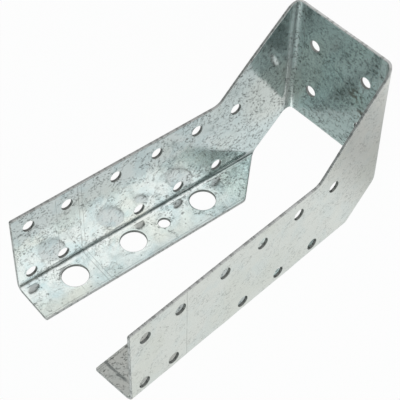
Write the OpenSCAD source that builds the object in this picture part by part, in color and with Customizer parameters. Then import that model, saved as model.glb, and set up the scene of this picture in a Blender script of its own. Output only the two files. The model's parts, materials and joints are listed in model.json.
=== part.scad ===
// Joist hanger folded from one galvanised steel sheet: a level seat, two legs that lean a little
// outwards, and a flange folded inwards along the back of each leg, against the header beam.
// Millimetres. The origin is the middle of the seat's upper face, where the joist bears. +Z is up the
// legs, +Y points at the header, and X runs across the joist, so the part is symmetric in X.

/* [Joist] */
// Clear width between the two legs at the seat
joist_w = 50.5; // [45:0.5:80]

/* [Sheet] */
// Thickness of the sheet
sheet_t = 1.25; // [1:0.05:1.5]
// Inside radius of the fold at the foot of each leg
foot_r = 3.75; // [1.5:0.25:5]
// Inside radius of the fold along each flange
bend_r = 2; // [1.5:0.1:2.2]
// Angle by which each leg leans out from square to the seat
leg_splay = 3.5; // [0:0.5:6]

/* [Seat] */
// Depth of the seat along the joist
seat_d = 58.5; // [54:0.5:66]
// Distance from the seat's back edge to the header
seat_gap = 19; // [16:0.5:24]

/* [Legs] */
// Height of each leg, measured along it from the seat's upper face
leg_h = 137; // [135:0.5:160]
// Depth of each leg from the header to its front edge
leg_d = 41; // [39.5:0.5:44]
// Angle between the slanting edges and the leg's length
slant = 44; // [42:1:48]
// Radius where each front edge turns into its slant
kink_r = 6; // [3:0.5:9]

/* [Flanges] */
// Width of each flange over the outside of the fold
flange_w = 20; // [19:0.5:22]
// Radius of the flange's lower free corner
flange_low_r = 3; // [1:0.5:4]
// Radius of the flange's upper free corner
flange_top_r = 1; // [0.5:0.5:3]

/* [Nail holes] */
// Diameter of a nail hole
nail_d = 5; // [4:0.1:5.2]
// Pitch of the even part of each row
nail_pitch = 20; // [18:0.5:20]
// Distance from the leg's front edge to its front row
front_row_in = 7.25; // [6.5:0.25:8]
// Distance between the leg's two rows
row_gap = 27; // [25:0.5:27]
// Height of the lowest hole in the front row
front_row_low = 29; // [28:0.5:31]
// Height of the lowest hole in the back row
back_row_low = 38.5; // [36:0.5:40]
// Heights of the two holes near the top of the front row
front_row_top = [112, 129.5]; // [110:0.5:131]
// Heights of the two holes near the top of the back row
back_row_top = [115.5, 130.5]; // [114:0.5:131]
// Spacing of the four seat holes across the joist
seat_hole_x = 27.5; // [20:0.5:32]
// Spacing of the four seat holes along the joist
seat_hole_y = 25; // [20:0.5:32]
// Distance from the header to the middle of the seat holes
seat_holes_back = 47.5; // [46:0.5:50]

/* [Flange holes] */
// Diameter of a bolt hole
bolt_d = 11; // [9:0.5:11]
// Distance of the flange holes from the leg's inner face
flange_hole_in = 8; // [7.9:0.1:9]
// Heights of the three bolt holes
bolt_heights = [52, 87.5, 116]; // [50:0.5:120]
// Height of the nail hole between the lower two bolt holes
flange_nail_height = 72; // [68:0.5:74]

/* [Hidden] */
$fn = 64;
over = 1;                                             // how far a cutter runs past a face
bite = 0.001;                                         // how far a rounding arc crosses the edges it joins

header_y = seat_d / 2 + seat_gap;                     // plane of the header's face
leg_front = header_y - leg_d;                         // front edge of the leg
fold_y = header_y - sheet_t - bend_r;                 // where the leg ends and its flange fold starts
flange_in = flange_w - sheet_t;                       // flange width from the leg's inner face
run = 1 / tan(slant);                                 // rise of a slanting edge for each millimetre along it
kink_h = (leg_front + seat_d / 2) * run;              // height of the kink in the front edge
fold_h = (fold_y - seat_d / 2) * run;                 // height where the back slant meets the fold
neutral_r = bend_r + sheet_t / 2;                     // middle of the sheet in a flange fold
flange_h = fold_h + neutral_r * PI / 2 * run;         // the same edge where it leaves the fold
flange_tip_h = flange_h + (flange_in - bend_r) * run; // height of the flange's lower free corner
front_row_y = leg_front + front_row_in;
back_row_y = front_row_y + row_gap;
front_row = concat([for (i = [0:3]) front_row_low + i * nail_pitch], front_row_top);
back_row = concat([for (i = [0:2]) back_row_low + i * nail_pitch], back_row_top);

function unit(v) = v / norm(v);

// The sliver between a corner and the arc that rounds it. p is the corner, and a and b are points further
// along its two edges.
module corner_sliver(p, a, b, r) {
    u = unit(a - p);
    v = unit(b - p);
    half = acos(u * v) / 2;
    difference() {
        polygon([p, p + u * r / tan(half), p + v * r / tan(half)]);
        translate(p + unit(u + v) * (r - bite) / sin(half)) circle(r);
    }
}

// The area that a face of the sheet wraps round, looking along the joist. d is how far the face lies
// outside the inner one, h how high it reaches, and r the radius of its fold. Drawn on the leg: x is 0 on
// the leg's inner face and grows outwards, y runs up the leg, and the seat leads away to the left.
module wrapped_area(d, h, r) {
    to_middle = [-cos(leg_splay), -sin(leg_splay)];
    below_seat = [sin(leg_splay), -cos(leg_splay)];
    corner = [d, -d * (1 - sin(leg_splay)) / cos(leg_splay)];
    seat_end = joist_w * to_middle + d * below_seat;
    difference() {
        polygon([corner, [d, h], [-joist_w, h], seat_end]);
        corner_sliver(corner, [d, h], seat_end, r);
    }
}

// What is cut away in front of the leg and behind it, seen from the side: x along the joist, y up the leg.
module side_waste() {
    foot = [-seat_d / 2, 0];
    kink = [leg_front, kink_h];
    difference() {
        polygon([foot, kink, [leg_front, leg_h + over], [foot[0] - over, leg_h + over], [foot[0] - over, 0]]);
        corner_sliver(kink, foot, [leg_front, leg_h], kink_r);
    }
    polygon([
        [seat_d / 2, -joist_w / 2], [seat_d / 2, 0], [fold_y, fold_h],
        [fold_y + over, fold_h], [fold_y + over, -joist_w / 2],
    ]);
}

// The flange seen from the header: x from the leg's inner face inwards, and z up the leg.
module flange_outline() {
    tip = [-flange_in, flange_tip_h];
    top = [-flange_in, leg_h];
    root = [-bend_r, flange_h];
    difference() {
        polygon([root, [-bend_r, leg_h], top, tip]);
        corner_sliver(tip, top, root, flange_low_r);
        corner_sliver(top, tip, [0, leg_h], flange_top_r);
    }
}

// What lies below the blank's slanting edge as it turns through the flange fold. The edge climbs in
// step with the length of sheet in the fold, so the cutter's top is a spiral ramp about the fold's axis.
module fold_ramp() {
    steps = 8;
    radii = [bend_r - over, bend_r + sheet_t + over];
    function ring(k, ramp) = [for (r = radii)
        let (turn = 90 * k / steps, climb = neutral_r * turn * PI / 180 * run)
        [r * cos(turn), r * sin(turn), fold_h + (ramp ? climb : -2 * over)]];
    // four points at each step: floor inner, floor outer, ramp inner, ramp outer
    points = [for (k = [-1:steps + 1]) each concat(ring(k, false), ring(k, true))];
    last = 4 * (steps + 2);
    sides = [[0, 1], [1, 3], [3, 2], [2, 0]];
    polyhedron(points, concat(
        [[0, 1, 3], [0, 3, 2], [last, last + 3, last + 1], [last, last + 2, last + 3]],
        [for (i = [0:4:last - 1], s = sides) [i + s[0], i + 4 + s[0], i + 4 + s[1]]],
        [for (i = [0:4:last - 1], s = sides) [i + s[0], i + 4 + s[1], i + s[1]]]));
}

// A hole through the leg, square to it, at a place on the leg's side view.
module leg_hole(y, z) {
    translate([-over, y, z]) rotate([0, 90, 0]) cylinder(d = nail_d, h = sheet_t + 2 * over);
}

// A hole through the flange at a height up the leg.
module flange_hole(d, z) {
    translate([-flange_hole_in, header_y + over, z]) rotate([90, 0, 0])
        cylinder(d = d, h = sheet_t + 2 * over);
}

// The fold along the back of the leg, and the flange that it turns inwards.
module flange() {
    translate([-bend_r, fold_y, 0]) difference() {
        translate([0, 0, fold_h - over]) rotate_extrude(angle = 90)
            translate([bend_r, 0]) square([sheet_t, leg_h - fold_h + over]);
        fold_ramp();
    }
    translate([0, header_y, 0]) rotate([90, 0, 0]) linear_extrude(sheet_t) flange_outline();
}

// The leg, the fold at its foot and the seat, which runs on past the middle.
module leg_and_seat() {
    difference() {
        translate([0, fold_y, 0]) rotate([90, 0, 0]) linear_extrude(fold_y + seat_d / 2) difference() {
            wrapped_area(sheet_t, leg_h, foot_r + sheet_t);
            wrapped_area(0, leg_h + over, foot_r);
        }
        translate([-joist_w / 2 - over, 0, 0]) rotate([90, 0, 90])
            linear_extrude(joist_w / 2 + sheet_t + 2 * over) side_waste();
    }
}

// One side of the hanger, as far as the middle of its seat. The leg is made upright, then leans outwards.
module half_hanger() {
    difference() {
        translate([joist_w / 2, 0, 0]) rotate([0, leg_splay, 0]) difference() {
            union() {
                leg_and_seat();
                flange();
            }
            for (z = front_row) leg_hole(front_row_y, z);
            for (z = back_row) leg_hole(back_row_y, z);
            for (z = bolt_heights) flange_hole(bolt_d, z);
            flange_hole(nail_d, flange_nail_height);
        }
        translate([-2 * joist_w, -seat_d, -joist_w]) cube([2 * joist_w, 2 * seat_d, joist_w + 2 * leg_h]);
        for (y = [-1, 1])
            translate([seat_hole_x / 2, header_y - seat_holes_back + y * seat_hole_y / 2, -sheet_t - over])
                cylinder(d = nail_d, h = sheet_t + 2 * over);
    }
}

module hanger() {
    color([0.72, 0.75, 0.75])
        for (side = [0, 1]) mirror([side, 0, 0]) half_hanger();
}

hanger();
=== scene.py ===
import bpy
import json
import numpy as np
from mathutils import Matrix, Vector
from mathutils.geometry import delaunay_2d_cdt
from types import SimpleNamespace


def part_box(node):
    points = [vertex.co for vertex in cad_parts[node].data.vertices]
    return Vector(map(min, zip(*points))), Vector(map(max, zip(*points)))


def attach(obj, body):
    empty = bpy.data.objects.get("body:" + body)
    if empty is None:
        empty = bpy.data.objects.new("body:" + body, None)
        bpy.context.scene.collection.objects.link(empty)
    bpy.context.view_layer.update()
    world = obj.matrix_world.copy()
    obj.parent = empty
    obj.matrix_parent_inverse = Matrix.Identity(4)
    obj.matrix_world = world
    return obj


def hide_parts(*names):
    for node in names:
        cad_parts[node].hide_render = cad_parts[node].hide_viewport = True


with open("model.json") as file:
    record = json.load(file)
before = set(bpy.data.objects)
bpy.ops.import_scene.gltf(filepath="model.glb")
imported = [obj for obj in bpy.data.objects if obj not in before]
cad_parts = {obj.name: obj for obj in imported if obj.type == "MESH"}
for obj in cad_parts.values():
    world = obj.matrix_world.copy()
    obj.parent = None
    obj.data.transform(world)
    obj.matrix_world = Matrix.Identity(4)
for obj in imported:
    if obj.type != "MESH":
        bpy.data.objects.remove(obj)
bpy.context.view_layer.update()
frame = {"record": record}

# ---------------------------------------------------------------------------
# The hanger: one piece of hot-dip galvanised steel sheet, which carries a joist's end on a header beam.
# It is cut and punched flat, and then folded with no joint: the legs up from the seat, and a flange
# inwards along each leg. Nails hold the legs to the joist, and nails and bolts the flanges to the header.
# ---------------------------------------------------------------------------

# The flat blank. A place on it is (a, b). a runs along the joist towards the header, from 0 at the middle
# of the seat. b runs from the middle of the seat across it, through the fold at the leg's foot and up the
# leg, and is 0 where the leg's inner face, carried straight down, would meet the seat's upper face.
MM = 0.001
mounts = {m["name"]: m for m in frame["record"]["mounts"]}
low, high = (np.array(c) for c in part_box("hanger"))
sheet_t = -low[2]                                   # the seat's upper face is at height 0
header_y = high[1]                                  # the flanges' faces against the header
seat_front, seat_back = low[1], -low[1]

splay = np.arcsin(mounts["joist_nails_right_front_low"]["axis"][2])     # how far each leg leans outwards
leg_up = np.array([np.sin(splay), 0, np.cos(splay)])
leg_out = np.array([np.cos(splay), 0, -np.sin(splay)])

joist_w = 50.5 * MM                                 # clear width between the legs at the seat
foot_r = 3.75 * MM                                  # inside radius of the fold at a leg's foot
bend_r = 2 * MM                                     # and of the fold along a flange
leg_d = 41 * MM                                     # from the header to a leg's front edge
leg_h = 137 * MM                                    # up a leg from the seat's upper face
slant = np.radians(44)                              # between a slanting edge and the leg's length
flange_w = 20 * MM                                  # over the outside of its fold
kink_r = 6 * MM                                     # where a front edge turns into its slant
tip_r = 3 * MM                                      # the lower free corner of a flange
corner_r = 0.8 * MM                                 # what the shears leave on every other corner

run = 1 / np.tan(slant)                             # rise of a slanting edge for each metre of a
mid_r = bend_r + sheet_t / 2                        # middle of the sheet in a flange fold
foot_mid_r = foot_r + sheet_t / 2                   # and in a foot fold
leg_front = header_y - leg_d
fold_a = header_y - sheet_t - bend_r                # where the flange fold starts
fold_len = mid_r * np.pi / 2
flange_a = fold_a + fold_len                        # where it ends
free_a = flange_a + flange_w - sheet_t - bend_r     # the flange's free edge
kink_b = (leg_front - seat_front) * run
tip_b = (free_a - seat_back) * run
foot_b = foot_r * (1 - np.sin(splay)) / np.cos(splay)               # where the leg's flat starts
foot_turn = np.pi / 2 - splay
seat_b = foot_b - foot_mid_r * foot_turn                            # where the foot fold meets the seat
middle_b = seat_b - (joist_w / 2 - foot_b)                          # the middle of the seat
level_b = foot_b - foot_mid_r * np.arcsin(foot_b / foot_mid_r)      # where the fold is level with the seat


def rounded_path(corners, radii, pitch):
    """Points about a pitch apart along straight edges whose corners are arcs. Each arc touches both its
    edges, so its ends lie radius * tan(half the turn) from the corner. Between two knots the points are
    even steps of the way from one to the other."""
    fewest = 7                                      # points on a tight arc
    corners = np.array(corners)
    knots = [corners[:1]]
    for before, here, after, radius in zip(corners, corners[1:], corners[2:], radii):
        u, v = here - before, after - here
        u, v = u / np.linalg.norm(u), v / np.linalg.norm(v)
        turn = np.arctan2(u[0] * v[1] - u[1] * v[0], u @ v)
        left = np.array([-u[1], u[0]])
        centre = here - u * radius * np.tan(abs(turn) / 2) + np.sign(turn) * radius * left
        arm = -np.sign(turn) * radius * left
        angle = np.linspace(0, turn, max(fewest, int(radius * abs(turn) / pitch)))[:, None]
        knots.append(centre + np.cos(angle) * arm + np.sin(angle) * np.array([-arm[1], arm[0]]))
    knots = np.concatenate(knots + [corners[-1:]])
    way = np.diff(knots, axis=0)
    steps = np.maximum(1, np.round(np.linalg.norm(way, axis=1) / pitch).astype(int))
    stretch = np.repeat(np.arange(len(steps)), steps)
    taken = np.arange(len(stretch)) - np.repeat(np.cumsum(steps) - steps, steps)
    even = knots[stretch] + way[stretch] * taken[:, None] / steps[stretch][:, None]
    return np.concatenate([even, knots[-1:]])


def edge_normals(path, closed):
    """Unit vectors that point away from the sheet, to the left of the way a cut edge runs. Each is the
    chord between a point's two neighbours, turned by a quarter."""
    if closed:
        chord = np.roll(path, -1, 0) - np.roll(path, 1, 0)
    else:
        chord = np.gradient(path, axis=0)
    chord /= np.linalg.norm(chord, axis=1)[:, None]
    return np.stack([-chord[:, 1], chord[:, 0]], 1)


def blank_outline():
    """The cut edge of half the blank, from the middle of the seat's front edge round to the middle of
    its back edge. The slanting edges keep straight in side view, so below the leg's flat the height
    h is carried to the place foot_b - r * asin((foot_b - h) / r) in the foot fold of middle radius r."""
    pitch = 0.5 * MM
    middle_h = middle_b - level_b
    path = rounded_path(
        [[seat_front, middle_h], [seat_front, 0], [leg_front, kink_b], [leg_front, leg_h],
         [free_a, leg_h], [free_a, tip_b], [seat_back, 0], [seat_back, middle_h]],
        [corner_r, kink_r, corner_r, corner_r, tip_r, corner_r], pitch)
    h = path[:, 1]
    in_fold = foot_b - foot_mid_r * np.arcsin(np.clip((foot_b - h) / foot_mid_r, -1, 1))
    path[:, 1] = np.where(h >= foot_b, h, np.where(h >= 0, in_fold, level_b + h))
    return path


def beside_leg(point):
    """How far a point is up the right leg, and how far inwards of its inner face: its offset from the
    leg's foot, measured along the leg and square to it."""
    offset = np.array(point) - [joist_w / 2, 0, 0]
    return offset @ leg_up, -offset @ leg_out


def blank_holes():
    """Every punched hole of half the blank, as rows of (a, b, radius). Each is its mount's middle, plus or
    minus half the mount's spacing. Rounded to 0.01 mm, a hole that two mounts share counts once."""
    rows = []
    for name, mount in mounts.items():
        dims, pos = mount["dims"], mount["pos_m"]
        if name.startswith("joist_nails_right"):
            up = beside_leg(pos)[0]
            rows += [(pos[1], up + s * dims["pcd_mm"] * MM / 2, dims["hole_r_mm"] * MM) for s in (-1, 1)]
        elif name.startswith("header_") and mount["kind"] == "bolt_pattern":
            up, inwards = beside_leg([dims["spacing_x_mm"] * MM / 2, 0, pos[2]])
            rows.append((flange_a + inwards - bend_r, up, dims["hole_r_mm"] * MM))
        elif name == "seat_nails":
            x, dy = dims["spacing_x_mm"] * MM / 2, dims["spacing_y_mm"] * MM / 2
            rows += [(pos[1] + s * dy, middle_b + x, dims["hole_r_mm"] * MM) for s in (-1, 1)]
    return np.unique(np.round(rows, 5), axis=0)


def inside(points, loop):
    """True where a point is inside a closed loop: an odd count of the loop's edges lie to its right."""
    p, q = loop, np.roll(loop, -1, 0)
    x, y = points[:, :1], points[:, 1:]
    spans = (p[:, 1] > y) != (q[:, 1] > y)
    rise = np.where(q[:, 1] == p[:, 1], 1, q[:, 1] - p[:, 1])
    crosses = x < p[:, 0] + (y - p[:, 1]) * (q[:, 0] - p[:, 0]) / rise
    return (spans & crosses).sum(1) % 2 == 1


def grid_lines(start, end, fold):
    """Places one grid apart from start to end, but closer from one end of a fold to the other."""
    in_fold = np.linspace(fold[0], fold[1], fold_steps + 1)
    flat = np.arange(start, end, grid)
    flat = flat[(flat < fold[0] - grid / 2) | (flat > fold[1] + grid / 2)]
    return np.concatenate([flat, in_fold])


edge_r = 0.22 * MM                                  # how far the sheared edges are rounded over
ring_gap = 0.45 * MM                                # between the rings of points that follow each edge
grid = 1.0 * MM                                     # between the points spread over the sheet
fold_steps = 12                                     # the closer steps that these take through a fold
clear_gap = 0.6 * ring_gap                          # the nearest that one of these comes to a ring
bolt_hole_least = 4 * MM                            # a hole of a larger radius is for a bolt
bolt_hole_sides, nail_hole_sides = 64, 40
middle_gap = grid / 4                               # clear of the seat's middle, where the halves meet

outline = blank_outline()
holes = blank_holes()
loops = [outline]
for a, b, radius in holes:
    sides = bolt_hole_sides if radius > bolt_hole_least else nail_hole_sides
    angle = np.linspace(0, 2 * np.pi, sides, endpoint=False)
    loops.append(np.stack([a + radius * np.cos(angle), b + radius * np.sin(angle)], 1))
normals = [edge_normals(loop, k > 0) for k, loop in enumerate(loops)]
normals[0][0], normals[0][-1] = (-1, 0), (1, 0)     # square to the seat's edges, where the halves meet
face_loops = [loop - n * edge_r for loop, n in zip(loops, normals)]
guide_loops = [loop - n * (edge_r + ring_gap) for loop, n in zip(loops, normals)]

spread = np.stack(np.meshgrid(
    grid_lines(seat_front, free_a, (fold_a, flange_a)),
    grid_lines(middle_b, leg_h, (seat_b, foot_b)), indexing="ij"), -1).reshape(-1, 2)
spread = spread[inside(spread, face_loops[0]) & (spread[:, 1] > middle_b + middle_gap)]
ring_points = np.concatenate(guide_loops)
batches = np.array_split(spread, 20)                # few enough points at a time to fit in memory
nearest = np.concatenate([((some[:, None] - ring_points[None]) ** 2).sum(2).min(1) for some in batches])
spread = spread[nearest > clear_gap ** 2]
for a, b, radius in holes:
    spread = spread[np.hypot(spread[:, 0] - a, spread[:, 1] - b) > radius + edge_r + ring_gap]
inner_outline = guide_loops[0][1:-1]                # without its ends, which lie on the middle line
guides = np.concatenate([inner_outline] + guide_loops[1:])
guides = guides[guides[:, 1] > middle_b + middle_gap]

middle_a = np.arange(seat_front + edge_r + grid, seat_back - edge_r - middle_gap, grid)
middle_line = np.stack([middle_a, np.full_like(middle_a, middle_b)], 1)

# The blank is divided into triangles between its points. The cut edges are kept and the holes left open:
# a triangle between three points of one hole's rim is taken out.
rim = np.concatenate(face_loops)
blank = np.concatenate([rim, middle_line, guides, spread])
outline_n, rim_n = len(outline), len(rim)
starts = np.cumsum([0] + [len(loop) for loop in loops])
rims = [np.arange(p, q) for p, q in zip(starts, starts[1:])]
middle_ids = rim_n + np.arange(len(middle_line))
boundary = [np.concatenate([rims[0], middle_ids[::-1]])] + rims[1:]
cuts = np.concatenate([np.stack([ring, np.roll(ring, -1)], 1) for ring in boundary])
inside_with_holes = 2                               # the kind of result: only what the cuts enclose
same_point_mm = 1e-6
made = delaunay_2d_cdt(
    [Vector(p) for p in (blank / MM).tolist()], cuts.tolist(), [], inside_with_holes, same_point_mm)
assert len(made[0]) == len(blank), "the blank's points must stay as they are"
face_tris = np.array(made[2])
for first, last in zip(starts[1:], starts[2:]):
    in_hole = ((face_tris >= first) & (face_tris < last)).all(1)
    face_tris = face_tris[~in_hole]

# The folding. Punching and folding also leave the sheet a little out of flat.
wave_h = 0.12 * MM                                  # height of the slow waves over a leg
wave_a, wave_b = 17 * MM, 23 * MM                   # their lengths in a and in b, divided by 2 pi
phase_a, phase_b = 2.1, 1.3                         # in radians, the other way round on the left half
ripple_h = 0.06 * MM                                # height of a shorter ripple
ripple_len = 9 * MM                                 # its length, divided by 2 pi
ripple_slant = 0.6                                  # how much of b it goes by, beside all of a
flat_b = 10 * MM                                    # how far from the seat's middle all these grow full
pull_h = 0.22 * MM                                  # how far a bolt hole swells the fold beside it
pull_a, pull_b = 3.15 * MM, 4.5 * MM                # and how wide that swelling is
draw_h = 0.07 * MM                                  # how far a punched rim is drawn down
draw_r = 1.0 * MM                                   # and how wide it is


def out_of_flat(a, b, side):
    """How far the sheet stands off its true surface, outwards: slow waves and a ripple, which are sines
    of the place, a swelling exp(-distance squared) where each bolt hole nears the fold, and a drawn rim
    exp(-distance) round each hole."""
    rise = wave_h * np.sin(a / wave_a + phase_a * side) * np.cos(b / wave_b - phase_b * side)
    rise += ripple_h * np.sin((a + ripple_slant * b) / ripple_len + side)
    rise *= np.clip((b - middle_b) / flat_b, 0, 1)
    for hole_b in holes[holes[:, 2] > bolt_hole_least, 1]:
        rise += pull_h * np.exp(-((a - flange_a) / pull_a) ** 2 - ((b - hole_b) / pull_b) ** 2)
    for hole_a, hole_b, radius in holes:
        gap = np.maximum(np.hypot(a - hole_a, b - hole_b) - radius, 0)
        rise += draw_h * np.exp(-gap / draw_r)
    return rise


def folded(a, b, depth, side):
    """Carries a place on the blank into the folded hanger. depth is measured outwards from the middle of
    the sheet. In a fold of middle radius r the place turns by (distance into the fold) / r, at radius
    r + depth, and past it the sheet runs on straight. The left half is the right's mirror image."""
    depth = depth + out_of_flat(a, b, side)
    bend_radius, foot_radius = mid_r + depth, foot_mid_r + depth
    bend_turn = np.clip((a - fold_a) / mid_r, 0, np.pi / 2)
    dip = np.clip((foot_b - b) / foot_mid_r, 0, foot_turn)
    past_foot = np.maximum(seat_b - b, 0)
    at_foot = b < foot_b
    along = np.where(a < fold_a, a, fold_a + bend_radius * np.sin(bend_turn))
    out = bend_radius * np.cos(bend_turn) - bend_r - np.maximum(a - flange_a, 0)
    out = np.where(at_foot, foot_radius * np.cos(dip) - foot_r - past_foot * np.sin(foot_turn), out)
    up = np.where(at_foot, foot_b - foot_radius * np.sin(dip) - past_foot * np.cos(foot_turn), b)
    point = out[:, None] * leg_out + up[:, None] * leg_up
    point[:, 0] += joist_w / 2
    point[:, 0] *= side
    point[:, 1] = along
    return point


# Each point keeps its place on the blank too, (a, v, layer) in millimetres, which the marks on the zinc
# follow. v is b on the right half, and on the left it is measured on past the seat's middle. The layers
# are values that keep the marks on the sheet's two faces and its edges different.
joist_layer, outer_layer, hole_layer, edge_layer = -50.0, 50.0, 12.5, 0.0


def half_sheet(side):
    """One half of the hanger: the face next to the joist, the outer face, and the rounded wall between
    them. The wall is a profile of a quarter turn, a straight and a quarter turn, carried round every
    edge."""
    quarter = np.radians([30, 60, 90])
    inset = edge_r * (1 - np.sin(quarter))
    depth = -sheet_t / 2 + edge_r * (1 - np.cos(quarter))
    profile = np.stack([np.concatenate([inset, inset[::-1]]), np.concatenate([depth, -depth[::-1]])], 1)
    face_n = len(blank)
    a, b = [blank[:, 0]] * 2, [blank[:, 1]] * 2
    deep = [np.full(face_n, -sheet_t / 2), np.full(face_n, sheet_t / 2)]
    layer = [np.full(face_n, joist_layer), np.full(face_n, outer_layer)]
    for back, down in profile:
        ring = np.concatenate([loop - n * back for loop, n in zip(loops, normals)])
        a.append(ring[:, 0])
        b.append(ring[:, 1])
        deep.append(np.full(rim_n, down))
        layer.append(np.where(np.arange(rim_n) < outline_n, edge_layer, hole_layer))
    a, b, deep, layer = (np.concatenate(values) for values in (a, b, deep, layer))
    faces = [face_tris, face_tris[:, ::-1] + face_n]
    levels = [0] + [2 * face_n + k * rim_n for k in range(len(profile))] + [face_n]
    for k, ring in enumerate(rims):
        here, there = (ring, np.roll(ring, -1)) if k else (ring[:-1], ring[1:])
        for upper, lower in zip(levels, levels[1:]):
            faces.append(np.stack([here + upper, there + upper, there + lower, here + lower], 1))
    if side < 0:
        faces = [group[:, ::-1] for group in faces]
    v = b if side > 0 else 2 * middle_b - b
    return folded(a, b, deep, side), faces, np.stack([a / MM, v / MM, layer], 1)


# The halves share the points along the middle of the seat: there the left half takes the right half's.
right_points, right_faces, right_places = half_sheet(1)
left_points, left_faces, left_places = half_sheet(-1)
half_n = len(left_points)
shared = np.abs(left_points[:, 0]) < 0.001 * MM
number = np.where(shared, np.arange(half_n), half_n + np.cumsum(~shared) - 1)
points = np.concatenate([right_points, left_points[~shared]])
places = np.concatenate([right_places, left_places[~shared]])
faces = right_faces + [number[group] for group in left_faces]
mesh = bpy.data.meshes.new("hanger_sheet")
mesh.from_pydata(points.tolist(), [], [face for group in faces for face in group.tolist()])
blank_place = mesh.attributes.new("blank_place", "FLOAT_VECTOR", "POINT")
blank_place.data.foreach_set("vector", places.astype(np.float32).ravel())
mesh.shade_smooth()

# The zinc, which is dipped on, and the marks on it. The sizes of the marks are in millimetres, as their
# places on the blank are.
inner_zinc = (0.98, 0.995, 0.985, 1)                # next to the joist
outer_zinc = (1.0, 0.975, 0.925, 1)                 # and outside, a little warmer
cool_zinc = (0.82, 0.92, 0.94, 1)
warm_zinc = (0.94, 0.92, 0.84, 1)
seat_zinc = (0.86, 0.93, 0.93, 1)                   # a little nearer teal
dull_zinc = (0.92, 0.89, 0.83, 1)                   # where it has been handled or worn
smudge_grey = (0.49, 0.55, 0.545, 1)
fleck_black = (0.10, 0.105, 0.10, 1)
grime_and_shade_grey = (0.22, 0.24, 0.24, 1)                  # grime and painted shade inside the folds
soil_brown = (0.30, 0.27, 0.22, 1)                  # dirt caught on the seat
sheared_steel = (0.66, 0.645, 0.64, 1)              # bare, along the cut edges
punched_steel_and_shade = (0.30, 0.30, 0.29, 1)               # bare steel in the walls of the holes, painted darker for the shade in them

cloud_size = 9.0                                    # patches of cooler, rougher zinc
haze_size = 24.0                                    # broad patches of warmer zinc
smudge_size = 11.0
drift_size = 7.0                                    # the drifts that the flecks lie in
thread_size = 1.0                                   # the dark threads that are broken into flecks
break_size = 1.5                                    # and their breaks
speck_size = 2.2                                    # the cells that may each hold a speck
grain_size = 0.7
wander_size = 2.5                                   # how the grime's edge wanders in a flange fold
gap_size = 4.0                                      # gaps where a line or a streak has worn away
torn_size = 1.6                                     # torn patches along a sheared edge
swell_size = 5.0                                    # the slight swell of the coat
swell_depth = 0.3 * MM                              # and its depth, in metres, as the bump takes it
thread_turn = np.radians(35)                        # turns their noise, which would line up with the blank
thread_stretch = 0.45                               # its scale up the legs, which draws the threads out
middle_v = middle_b / MM                            # the seat's middle


def left_v(b):
    """The v of a place on the left half: twice that of the seat's middle, less b."""
    return 2 * middle_v - b


# Each pair is where a change of the finish starts, and where it is full.
seat_tone = (95, 30)                                # from the seat's middle, up each leg
front_tone = (34, 14)                               # in a, towards the front of each leg
handled_end = (left_v(90), left_v(115))             # in v, up the left leg
wiped_a, wiped_v = (fold_a / MM, free_a / MM), (50, 90)     # over the upper part of the right flange
streak_a = ((flange_a + 2 * MM) / MM, (flange_a + 6 * MM) / MM)     # onto the left flange
foot_grime_and_shade, crease_grime_and_shade = (3.0, 0.6), (2.9, 1.3)   # either side of the line of grime and painted shade in each kind of fold
stretched_zinc = (4.0, 2.4)                         # either side of the line that a foot fold stretched

# Those lines, of which the first two are measured from the seat's middle, and the places of single marks.
foot_grime_and_shade_line = (2 * foot_b + seat_b) / 3 / MM - middle_v
stretched_line = seat_b / MM + 1 - middle_v
crease_line = (fold_a + 0.35 * fold_len) / MM       # in a
streak_v = left_v(131)
worn_spot = (16, 10, 10, 10)                        # a, v, radius and softness of a worn place
soil_spots = [(-2.4, middle_v - 9.6, 1.5, 4), (5.2, middle_v - 15, 1.2, 4)]     # and of dirt on the seat
edge_shade_line = (free_a / MM - 1.1, 0.16)               # a and half width of a line of painted shade just inside each free edge
press_lines = [(106.8, 0.16), (105.2, 0.13), (117, 0.12), (left_v(108.7), 0.14)]    # v and half width


def add(tree, kind, inputs, **settings):
    """Adds a node. Each input is another node's output to link, or the constant it keeps."""
    node = tree.nodes.new(kind)
    for key, value in settings.items():
        setattr(node, key, value)
    for key, value in inputs.items():
        if isinstance(value, bpy.types.NodeSocket):
            tree.links.new(value, node.inputs[key])
        else:
            node.inputs[key].default_value = value
    return node


def noise(tree, place, size, detail=2.0, grain=0.55, warp=0.0):
    """Random waves from 0 to 1 whose length is about size: the noise of place / size."""
    return add(tree, "ShaderNodeTexNoise", {
        "Vector": place, "Scale": 1 / size, "Detail": detail, "Roughness": grain,
        "Distortion": warp}).outputs[0]


def ramp(tree, value, start, end, first=0.0, last=1.0, curve="SMOOTHSTEP"):
    """first + (last - first) * c, where x is how far value is on its way from start to end, held between
    0 and 1, and c is x for a linear curve and 3x^2 - 2x^3 for the smooth one. start may be above end."""
    return add(tree, "ShaderNodeMapRange", {
        "Value": value, "From Min": start, "From Max": end, "To Min": first, "To Max": last},
        interpolation_type=curve).outputs[0]


def maths(tree, operation, first, second=0.0, third=0.0):
    """The result of one operation on up to three values."""
    return add(tree, "ShaderNodeMath", {0: first, 1: second, 2: third}, operation=operation).outputs[0]


def times(tree, *values):
    """The product of the values."""
    product = values[0]
    for value in values[1:]:
        product = maths(tree, "MULTIPLY", product, value)
    return product


def total(tree, start, *parts):
    """start, plus value * weight for each (value, weight) of the parts."""
    for value, weight in parts:
        start = maths(tree, "MULTIPLY_ADD", value, weight, start)
    return start


def away_from(tree, value, line):
    """How far a value is from a line, on either side: |value - line|."""
    return maths(tree, "ABSOLUTE", maths(tree, "SUBTRACT", value, line))


def distance_to(tree, place, point):
    """The straight distance between a place and a point."""
    return add(tree, "ShaderNodeVectorMath", {0: place, 1: point}, operation="DISTANCE").outputs["Value"]


def blend(tree, amount, first, second):
    """first * (1 - amount) + second * amount, for colours."""
    return add(tree, "ShaderNodeMix", {0: amount, 6: first, 7: second}, data_type="RGBA").outputs[2]


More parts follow.
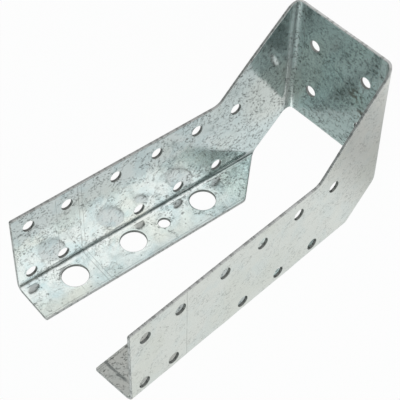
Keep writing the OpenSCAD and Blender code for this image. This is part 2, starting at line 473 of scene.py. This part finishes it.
def between(tree, amount, first, second):
    """first * (1 - amount) + second * amount, for plain values."""
    return add(tree, "ShaderNodeMix", {0: amount, 2: first, 3: second}, data_type="FLOAT").outputs[0]


def lay_over(tree, colour, mark, *places, share=1.0):
    """A colour with a mark's colour blended over it by share, times each of the places, which go from 0
    where the mark is absent to 1 where it is full."""
    return blend(tree, times(tree, *places, share), colour, mark)


def spot(tree, sheet, a, v, radius, soft):
    """1 within radius of a place on the joist's side of the blank, falling smoothly to 0 over soft."""
    return ramp(tree, distance_to(tree, sheet.place, (a, v, joist_layer)), radius + soft, radius)


def thin_line(tree, value, line, half_width):
    """1 where value is within 0.6 half widths of a line, falling smoothly to 0 at 1.6 of them."""
    return ramp(tree, away_from(tree, value, line), 1.6 * half_width, 0.6 * half_width)


def read_blank(tree):
    """What the marks read: the place on the blank with its a, v and layer, regions of the hanger that rise
    smoothly from 0 to 1, and the noises that more than one mark follows."""
    place = add(tree, "ShaderNodeAttribute", {}, attribute_name="blank_place").outputs["Vector"]
    axes = add(tree, "ShaderNodeSeparateXYZ", {"Vector": place}).outputs
    a, v, layer = axes["X"], axes["Y"], axes["Z"]
    joist_side = ramp(tree, layer, 10.0, -10.0)
    from_middle = away_from(tree, v, middle_v)
    return SimpleNamespace(
        place=place, a=a, v=v, layer=layer, joist_side=joist_side, from_middle=from_middle,
        near_seat=times(tree, ramp(tree, from_middle, *seat_tone), joist_side),
        near_front=times(tree, ramp(tree, a, *front_tone), joist_side),
        handled=times(tree, ramp(tree, v, *handled_end), joist_side),
        cut_wall=ramp(tree, maths(tree, "ABSOLUTE", layer), 0.9 * outer_layer, 0.5 * outer_layer),
        cloud=noise(tree, place, cloud_size, detail=4.0, grain=0.6, warp=0.6),
        gaps=noise(tree, place, gap_size),
        breaks=ramp(tree, noise(tree, place, break_size, detail=1.0), 0.45, 0.52))


def clean_zinc(tree, sheet):
    """The zinc before its marks: a blend of the two faces' colours by the layer, cooler where a cloudy
    noise is high, warmer where a broad one is, nearer teal by the seat, and dull where handled or worn."""
    colour = blend(tree, sheet.joist_side, outer_zinc, inner_zinc)
    coolness = ramp(tree, sheet.joist_side, 0.0, 1.0, first=0.25, last=0.8, curve="LINEAR")
    colour = lay_over(tree, colour, cool_zinc, ramp(tree, sheet.cloud, 0.42, 0.68), coolness)
    haze = noise(tree, sheet.place, haze_size, grain=0.5)
    colour = lay_over(tree, colour, warm_zinc, ramp(tree, haze, 0.50, 0.64), share=0.45)
    colour = lay_over(tree, colour, seat_zinc, sheet.near_seat, share=0.9)
    dull = maths(tree, "MAXIMUM", sheet.handled, spot(tree, sheet, *worn_spot))
    return lay_over(tree, colour, dull_zinc, dull, share=0.6)


def smudges(tree, sheet, colour):
    """Grey smudges where a cloudy noise is high, fainter outside and near the seat. The front of each leg
    has more of them and is a little grey all over: smudge * (0.35 + 0.25 * front) + 0.29 * front."""
    clouds = noise(tree, sheet.place, smudge_size, detail=4.0, grain=0.6, warp=0.4)
    smudge = times(tree, ramp(tree, clouds, 0.55, 0.74),
                   ramp(tree, sheet.joist_side, 0.0, 1.0, first=0.25),
                   ramp(tree, sheet.near_seat, 0.0, 1.0, first=1.0, last=0.35))
    strength = total(tree, 0.35, (sheet.near_front, 0.25))
    greyness = total(tree, 0.0, (sheet.near_front, 0.29), (smudge, strength))
    return lay_over(tree, colour, smudge_grey, greyness)


def seat_soil(tree, sheet, colour):
    """Soft round spots of brown dirt on the seat, broken up as the flecks are."""
    for soiled in soil_spots:
        colour = lay_over(tree, colour, soil_brown, spot(tree, sheet, *soiled), sheet.breaks, share=0.8)
    return colour


def flecks(tree, sheet, colour):
    """Fine dark flecks and specks. A thread runs where a drawn-out noise is near 0.5. It is broken up, and
    shows where the drift noise is high, sooner near the seat, the front and the handled end, and later on
    the wiped flange. A speck is the middle of a cell, in those cells whose own value is high."""
    drawn_out = add(tree, "ShaderNodeMapping", {
        "Vector": sheet.place, "Rotation": (0, 0, thread_turn),
        "Scale": (1, thread_stretch, 1)}).outputs[0]
    curl = noise(tree, drawn_out, thread_size, grain=0.5, warp=1.0)
    thread = ramp(tree, away_from(tree, curl, 0.5), 0.050, 0.022)
    wiped = times(tree, ramp(tree, sheet.a, *wiped_a), ramp(tree, sheet.v, *wiped_v))
    lifted = total(tree, noise(tree, sheet.place, drift_size, detail=3.0, grain=0.6, warp=0.8),
                   (maths(tree, "MAXIMUM", sheet.near_seat, sheet.handled), 0.06),
                   (sheet.near_front, 0.045), (wiped, -0.11))
    drift = ramp(tree, lifted, 0.42, 0.56)
    cell = add(tree, "ShaderNodeTexVoronoi", {"Vector": sheet.place, "Scale": 1 / speck_size}).outputs
    own_value = add(tree, "ShaderNodeSeparateXYZ", {"Vector": cell["Color"]}).outputs["X"]
    speck = times(tree, ramp(tree, cell["Distance"], 0.17, 0.09), ramp(tree, own_value, 0.56, 0.60))
    fleck = maths(tree, "MAXIMUM", times(tree, thread, sheet.breaks, drift), speck)
    strength = total(tree, 0.34, (sheet.joist_side, 0.46), (sheet.near_seat, 0.06))
    return lay_over(tree, colour, fleck_black, fleck, strength)


def fold_grime_and_shade(tree, sheet, colour):
    """Grime and painted shade in the folds: a faint soft band along the foot fold, and a dark one along
    the flange fold, whose edge a noise moves in and out. A band is full near its middle line, falling
    smoothly to 0."""
    # Painted shade with grime along the foot fold, on the leg's side of it.
    foot_band = ramp(tree, away_from(tree, sheet.from_middle, foot_grime_and_shade_line), *foot_grime_and_shade)
    colour = lay_over(tree, colour, grime_and_shade_grey, foot_band, sheet.joist_side, share=0.30)
    # Painted shade with grime along the flange fold.
    wander = noise(tree, sheet.place, wander_size, detail=3.0)
    ragged = total(tree, away_from(tree, sheet.a, crease_line), (wander, 2.2))
    patchy = ramp(tree, sheet.cloud, 0.35, 0.65, first=0.4, last=0.8, curve="LINEAR")
    return lay_over(tree, colour, grime_and_shade_grey, ramp(tree, ragged, *crease_grime_and_shade), sheet.joist_side, patchy)


def fine_grain(tree, sheet, colour):
    """A faint dark grain all over the zinc: a fine noise brought down to 0.05 or less."""
    grain = noise(tree, sheet.place, grain_size)
    return lay_over(tree, colour, fleck_black, ramp(tree, grain, 0.35, 0.65, last=0.05, curve="LINEAR"))


def pressed_lines_and_edge_shade(tree, sheet, colour):
    """Thin lines that the press left straight across the blank, and a line of painted shade just inside
    each
    free edge: the highest of all the lines, where the gap noise is high enough."""
    # A line of painted shade just inside the free edge; the rest are press lines.
    dark_lines = thin_line(tree, sheet.a, *edge_shade_line)
    for v, half_width in press_lines:
        dark_lines = maths(tree, "MAXIMUM", dark_lines, thin_line(tree, sheet.v, v, half_width))
    return lay_over(tree, colour, fleck_black, dark_lines, ramp(tree, sheet.gaps, 0.28, 0.52), share=0.36)


def rubbed_streak(tree, sheet, colour):
    """A dark streak rubbed across one flange: a line that a cloudy noise bends, where the gap noise is
    high enough."""
    streak = thin_line(tree, total(tree, sheet.v, (sheet.cloud, 3.0)), streak_v, 0.5)
    return lay_over(tree, colour, grime_and_shade_grey, streak, ramp(tree, sheet.a, *streak_a), sheet.joist_side,
                    ramp(tree, sheet.gaps, 0.3, 0.55), share=0.75)


def cut_walls(tree, sheet, colour):
    """Bare steel along the sheared edges, dark where a noise says it is torn, and in the punched holes,
    which the layer tells apart, darker steel with painted shade."""
    torn = ramp(tree, noise(tree, sheet.place, torn_size), 0.5, 0.62)
    sheared = lay_over(tree, sheared_steel, fleck_black, torn, share=0.42)
    in_hole = ramp(tree, sheet.layer, 0.4 * hole_layer, 0.8 * hole_layer)
    # The holes' walls carry painted shade.
    return lay_over(tree, colour, blend(tree, in_hole, sheared, punched_steel_and_shade), sheet.cut_wall)


def zinc_roughness(tree, sheet):
    """Rises with the cloudy noise. The zinc that a foot fold stretched and the cut walls have rougher
    values of their own, blended in."""
    rough = ramp(tree, sheet.cloud, 0.3, 0.7, first=0.10, last=0.19, curve="LINEAR")
    stretched = ramp(tree, away_from(tree, sheet.from_middle, stretched_line), *stretched_zinc)
    rough = between(tree, times(tree, stretched, sheet.joist_side), rough, 0.28)
    return between(tree, sheet.cut_wall, rough, 0.5)


def galvanised():
    """Hot-dip zinc on steel: the clean zinc, with each kind of mark laid over it in turn, and a coat that
    swells slightly, by a bump that follows a noise."""
    material = bpy.data.materials.new("galvanised_steel")
    material.use_nodes = True
    tree = material.node_tree
    sheet = read_blank(tree)
    colour = clean_zinc(tree, sheet)
    for mark in (smudges, seat_soil, flecks, fold_grime_and_shade, fine_grain,
                 pressed_lines_and_edge_shade, rubbed_streak, cut_walls):
        colour = mark(tree, sheet, colour)
    swell = noise(tree, sheet.place, swell_size)
    bump = add(tree, "ShaderNodeBump", {"Height": swell, "Strength": 0.3, "Distance": swell_depth})
    shader = tree.nodes["Principled BSDF"]
    tree.links.new(colour, shader.inputs["Base Color"])
    tree.links.new(zinc_roughness(tree, sheet), shader.inputs["Roughness"])
    tree.links.new(bump.outputs[0], shader.inputs["Normal"])
    shader.inputs["Metallic"].default_value = 1.0
    return material


mesh.materials.append(galvanised())
scene = bpy.context.scene
hanger = bpy.data.objects.new("hanger_sheet", mesh)
scene.collection.objects.link(hanger)
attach(hanger, "root")
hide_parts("hanger")


# ---------------------------------------------------------------------------
# The floor: a wide sheet of white paper laid flat, on which the hanger stands by the underside of its
# seat. It belongs to the studio, not to the hanger.
# ---------------------------------------------------------------------------
floor_half = 4.0                                    # half the paper's width, in metres
floor_z = low[2] - 0.05 * MM                        # just clear of the seat's underside
shaded_foot = (-0.038, 0.010, 0)                    # the middle of the shade at the hanger's foot
foot_shade, far_shade, right_shade = 0.52, 0.71, 0.46     # what is left of the light where it is dimmest
white = (1, 1, 1, 1)
near_paper = (0.96, 1, 0.99, 1)                     # what the zinc mirrors in front of the hanger
far_paper = (0.925, 0.99, 0.985, 1)                 # and behind it
lit_paper = (0.85, 0.85, 0.85, 1)                   # what the lamps light


def floor_paper():
    """White paper. The camera sees white with a faint shadow: 0.96 of a white glow and 0.04 of lit paper.
    The zinc sees a glow that is the product of three ramps, dimmer close round the hanger's foot, far
    behind it and to its right, where less light comes in."""
    material = bpy.data.materials.new("floor_paper")
    material.use_nodes = True
    tree = material.node_tree
    tree.nodes.clear()
    ray = add(tree, "ShaderNodeLightPath", {}).outputs
    place = add(tree, "ShaderNodeTexCoord", {}).outputs["Object"]
    axes = add(tree, "ShaderNodeSeparateXYZ", {"Vector": place}).outputs
    from_foot = distance_to(tree, place, shaded_foot)
    dimmed = times(tree, ramp(tree, from_foot, 0.010, 0.066, first=foot_shade),
                   ramp(tree, axes["Y"], 0.09, -0.03, first=far_shade),
                   ramp(tree, axes["X"], 0.08, 0.0, first=right_shade))
    strength = maths(tree, "MAXIMUM", dimmed, ray["Is Camera Ray"])
    tint = blend(tree, ramp(tree, axes["Y"], -0.03, 0.09), near_paper, far_paper)
    tint = blend(tree, ray["Is Camera Ray"], tint, white)
    glow = add(tree, "ShaderNodeEmission", {"Color": tint, "Strength": strength}).outputs[0]
    lit = add(tree, "ShaderNodeBsdfDiffuse", {"Color": lit_paper}).outputs[0]
    looked_at = maths(tree, "MAXIMUM", ray["Is Camera Ray"], ray["Is Glossy Ray"])
    both = add(tree, "ShaderNodeMixShader", {0: times(tree, looked_at, 0.96), 1: lit, 2: glow}).outputs[0]
    add(tree, "ShaderNodeOutputMaterial", {"Surface": both})
    return material


corner_signs = ((-1, -1), (1, -1), (1, 1), (-1, 1))
floor_mesh = bpy.data.meshes.new("studio_floor")
floor_mesh.from_pydata(
    [(x * floor_half, y * floor_half, floor_z) for x, y in corner_signs], [], [(0, 1, 2, 3)])
floor_mesh.materials.append(floor_paper())
floor = bpy.data.objects.new("studio_floor", floor_mesh)
scene.collection.objects.link(floor)


# ---------------------------------------------------------------------------
# The studio: a plain grey room, which shows only in the zinc, and four soft lamps that face the hanger.
# The camera looks down on the inside of one leg and the outside of the other.
# ---------------------------------------------------------------------------
scene.view_settings.view_transform = "Standard"

room_left = (-0.8, 0.6, 0)                          # the way to the room's left side
ceiling_right = (0.02, 0.03, 0.03, 1)
ceiling_left = (0.37, 0.445, 0.43, 1)
wall_right = (0.57, 0.61, 0.595, 1)
wall_left = (0.36, 0.40, 0.39, 1)


def studio_room():
    """White to the camera. To the zinc, walls below and a ceiling above, each a smooth blend from the
    room's right to its left by the direction's part along room_left."""
    world = bpy.data.worlds.new("studio")
    world.use_nodes = True
    tree = world.node_tree
    toward = add(tree, "ShaderNodeTexCoord", {}).outputs["Generated"]
    upward = add(tree, "ShaderNodeSeparateXYZ", {"Vector": toward}).outputs["Z"]
    leftward = add(
        tree, "ShaderNodeVectorMath", {0: toward, 1: room_left}, operation="DOT_PRODUCT").outputs["Value"]
    ceiling = blend(tree, ramp(tree, leftward, -0.7, -0.1), ceiling_right, ceiling_left)
    wall = blend(tree, ramp(tree, leftward, 0.15, 0.8), wall_right, wall_left)
    room = blend(tree, ramp(tree, upward, 0.56, 0.42), ceiling, wall)
    by_camera = add(tree, "ShaderNodeLightPath", {}).outputs["Is Camera Ray"]
    tree.links.new(blend(tree, by_camera, room, white), tree.nodes["Background"].inputs["Color"])
    return world


scene.world = studio_room()
lamp_aim = Vector((0, 0.01, 0.06))                  # near the middle of the hanger


def lamp(name, place, width, height, power):
    """An oblong soft lamp, square to the straight line from its place to lamp_aim. Its place and size are
    in metres and its power in watts."""
    light = bpy.data.lights.new(name, "AREA")
    light.shape = "RECTANGLE"
    light.size = width
    light.size_y = height
    light.energy = power
    panel = bpy.data.objects.new(name, light)
    panel.location = place
    panel.rotation_euler = (lamp_aim - Vector(place)).to_track_quat("-Z", "Y").to_euler()
    scene.collection.objects.link(panel)


lamp("overhead_lamp", (0.1, 0.1, 1.6), 1.2, 1.2, 3)
lamp("side_lamp", (-1.4, -0.1, 0.8), 1.0, 1.0, 5)
lamp("back_lamp", (0.06, 1.15, 1.05), 0.6, 0.6, 1.4)
lamp("front_lamp", (-1.05, -1.46, 0.65), 1.3, 0.55, 1.8)

# The camera stands back from its aim, turned about the upright axis, raised, and rolled about its own.
aim = Vector((0.9, 15.0, 71.9)) * MM
distance = 520 * MM
azimuth, elevation, roll = np.radians([-32.25, 26.22, -123.79])
back = Vector((
    np.sin(azimuth) * np.cos(elevation), -np.cos(azimuth) * np.cos(elevation), np.sin(elevation)))
level_right = Vector((np.cos(azimuth), np.sin(azimuth), 0))
level_up = back.cross(level_right)
right = level_right * np.cos(roll) + level_up * np.sin(roll)
facing = Matrix((right, back.cross(right), back)).transposed().to_4x4()
camera = bpy.data.objects.new("camera", bpy.data.cameras.new("camera"))
camera.matrix_world = Matrix.Translation(aim + back * distance) @ facing
camera.data.lens = 122.4
camera.data.sensor_width = 36
scene.collection.objects.link(camera)
scene.camera = camera
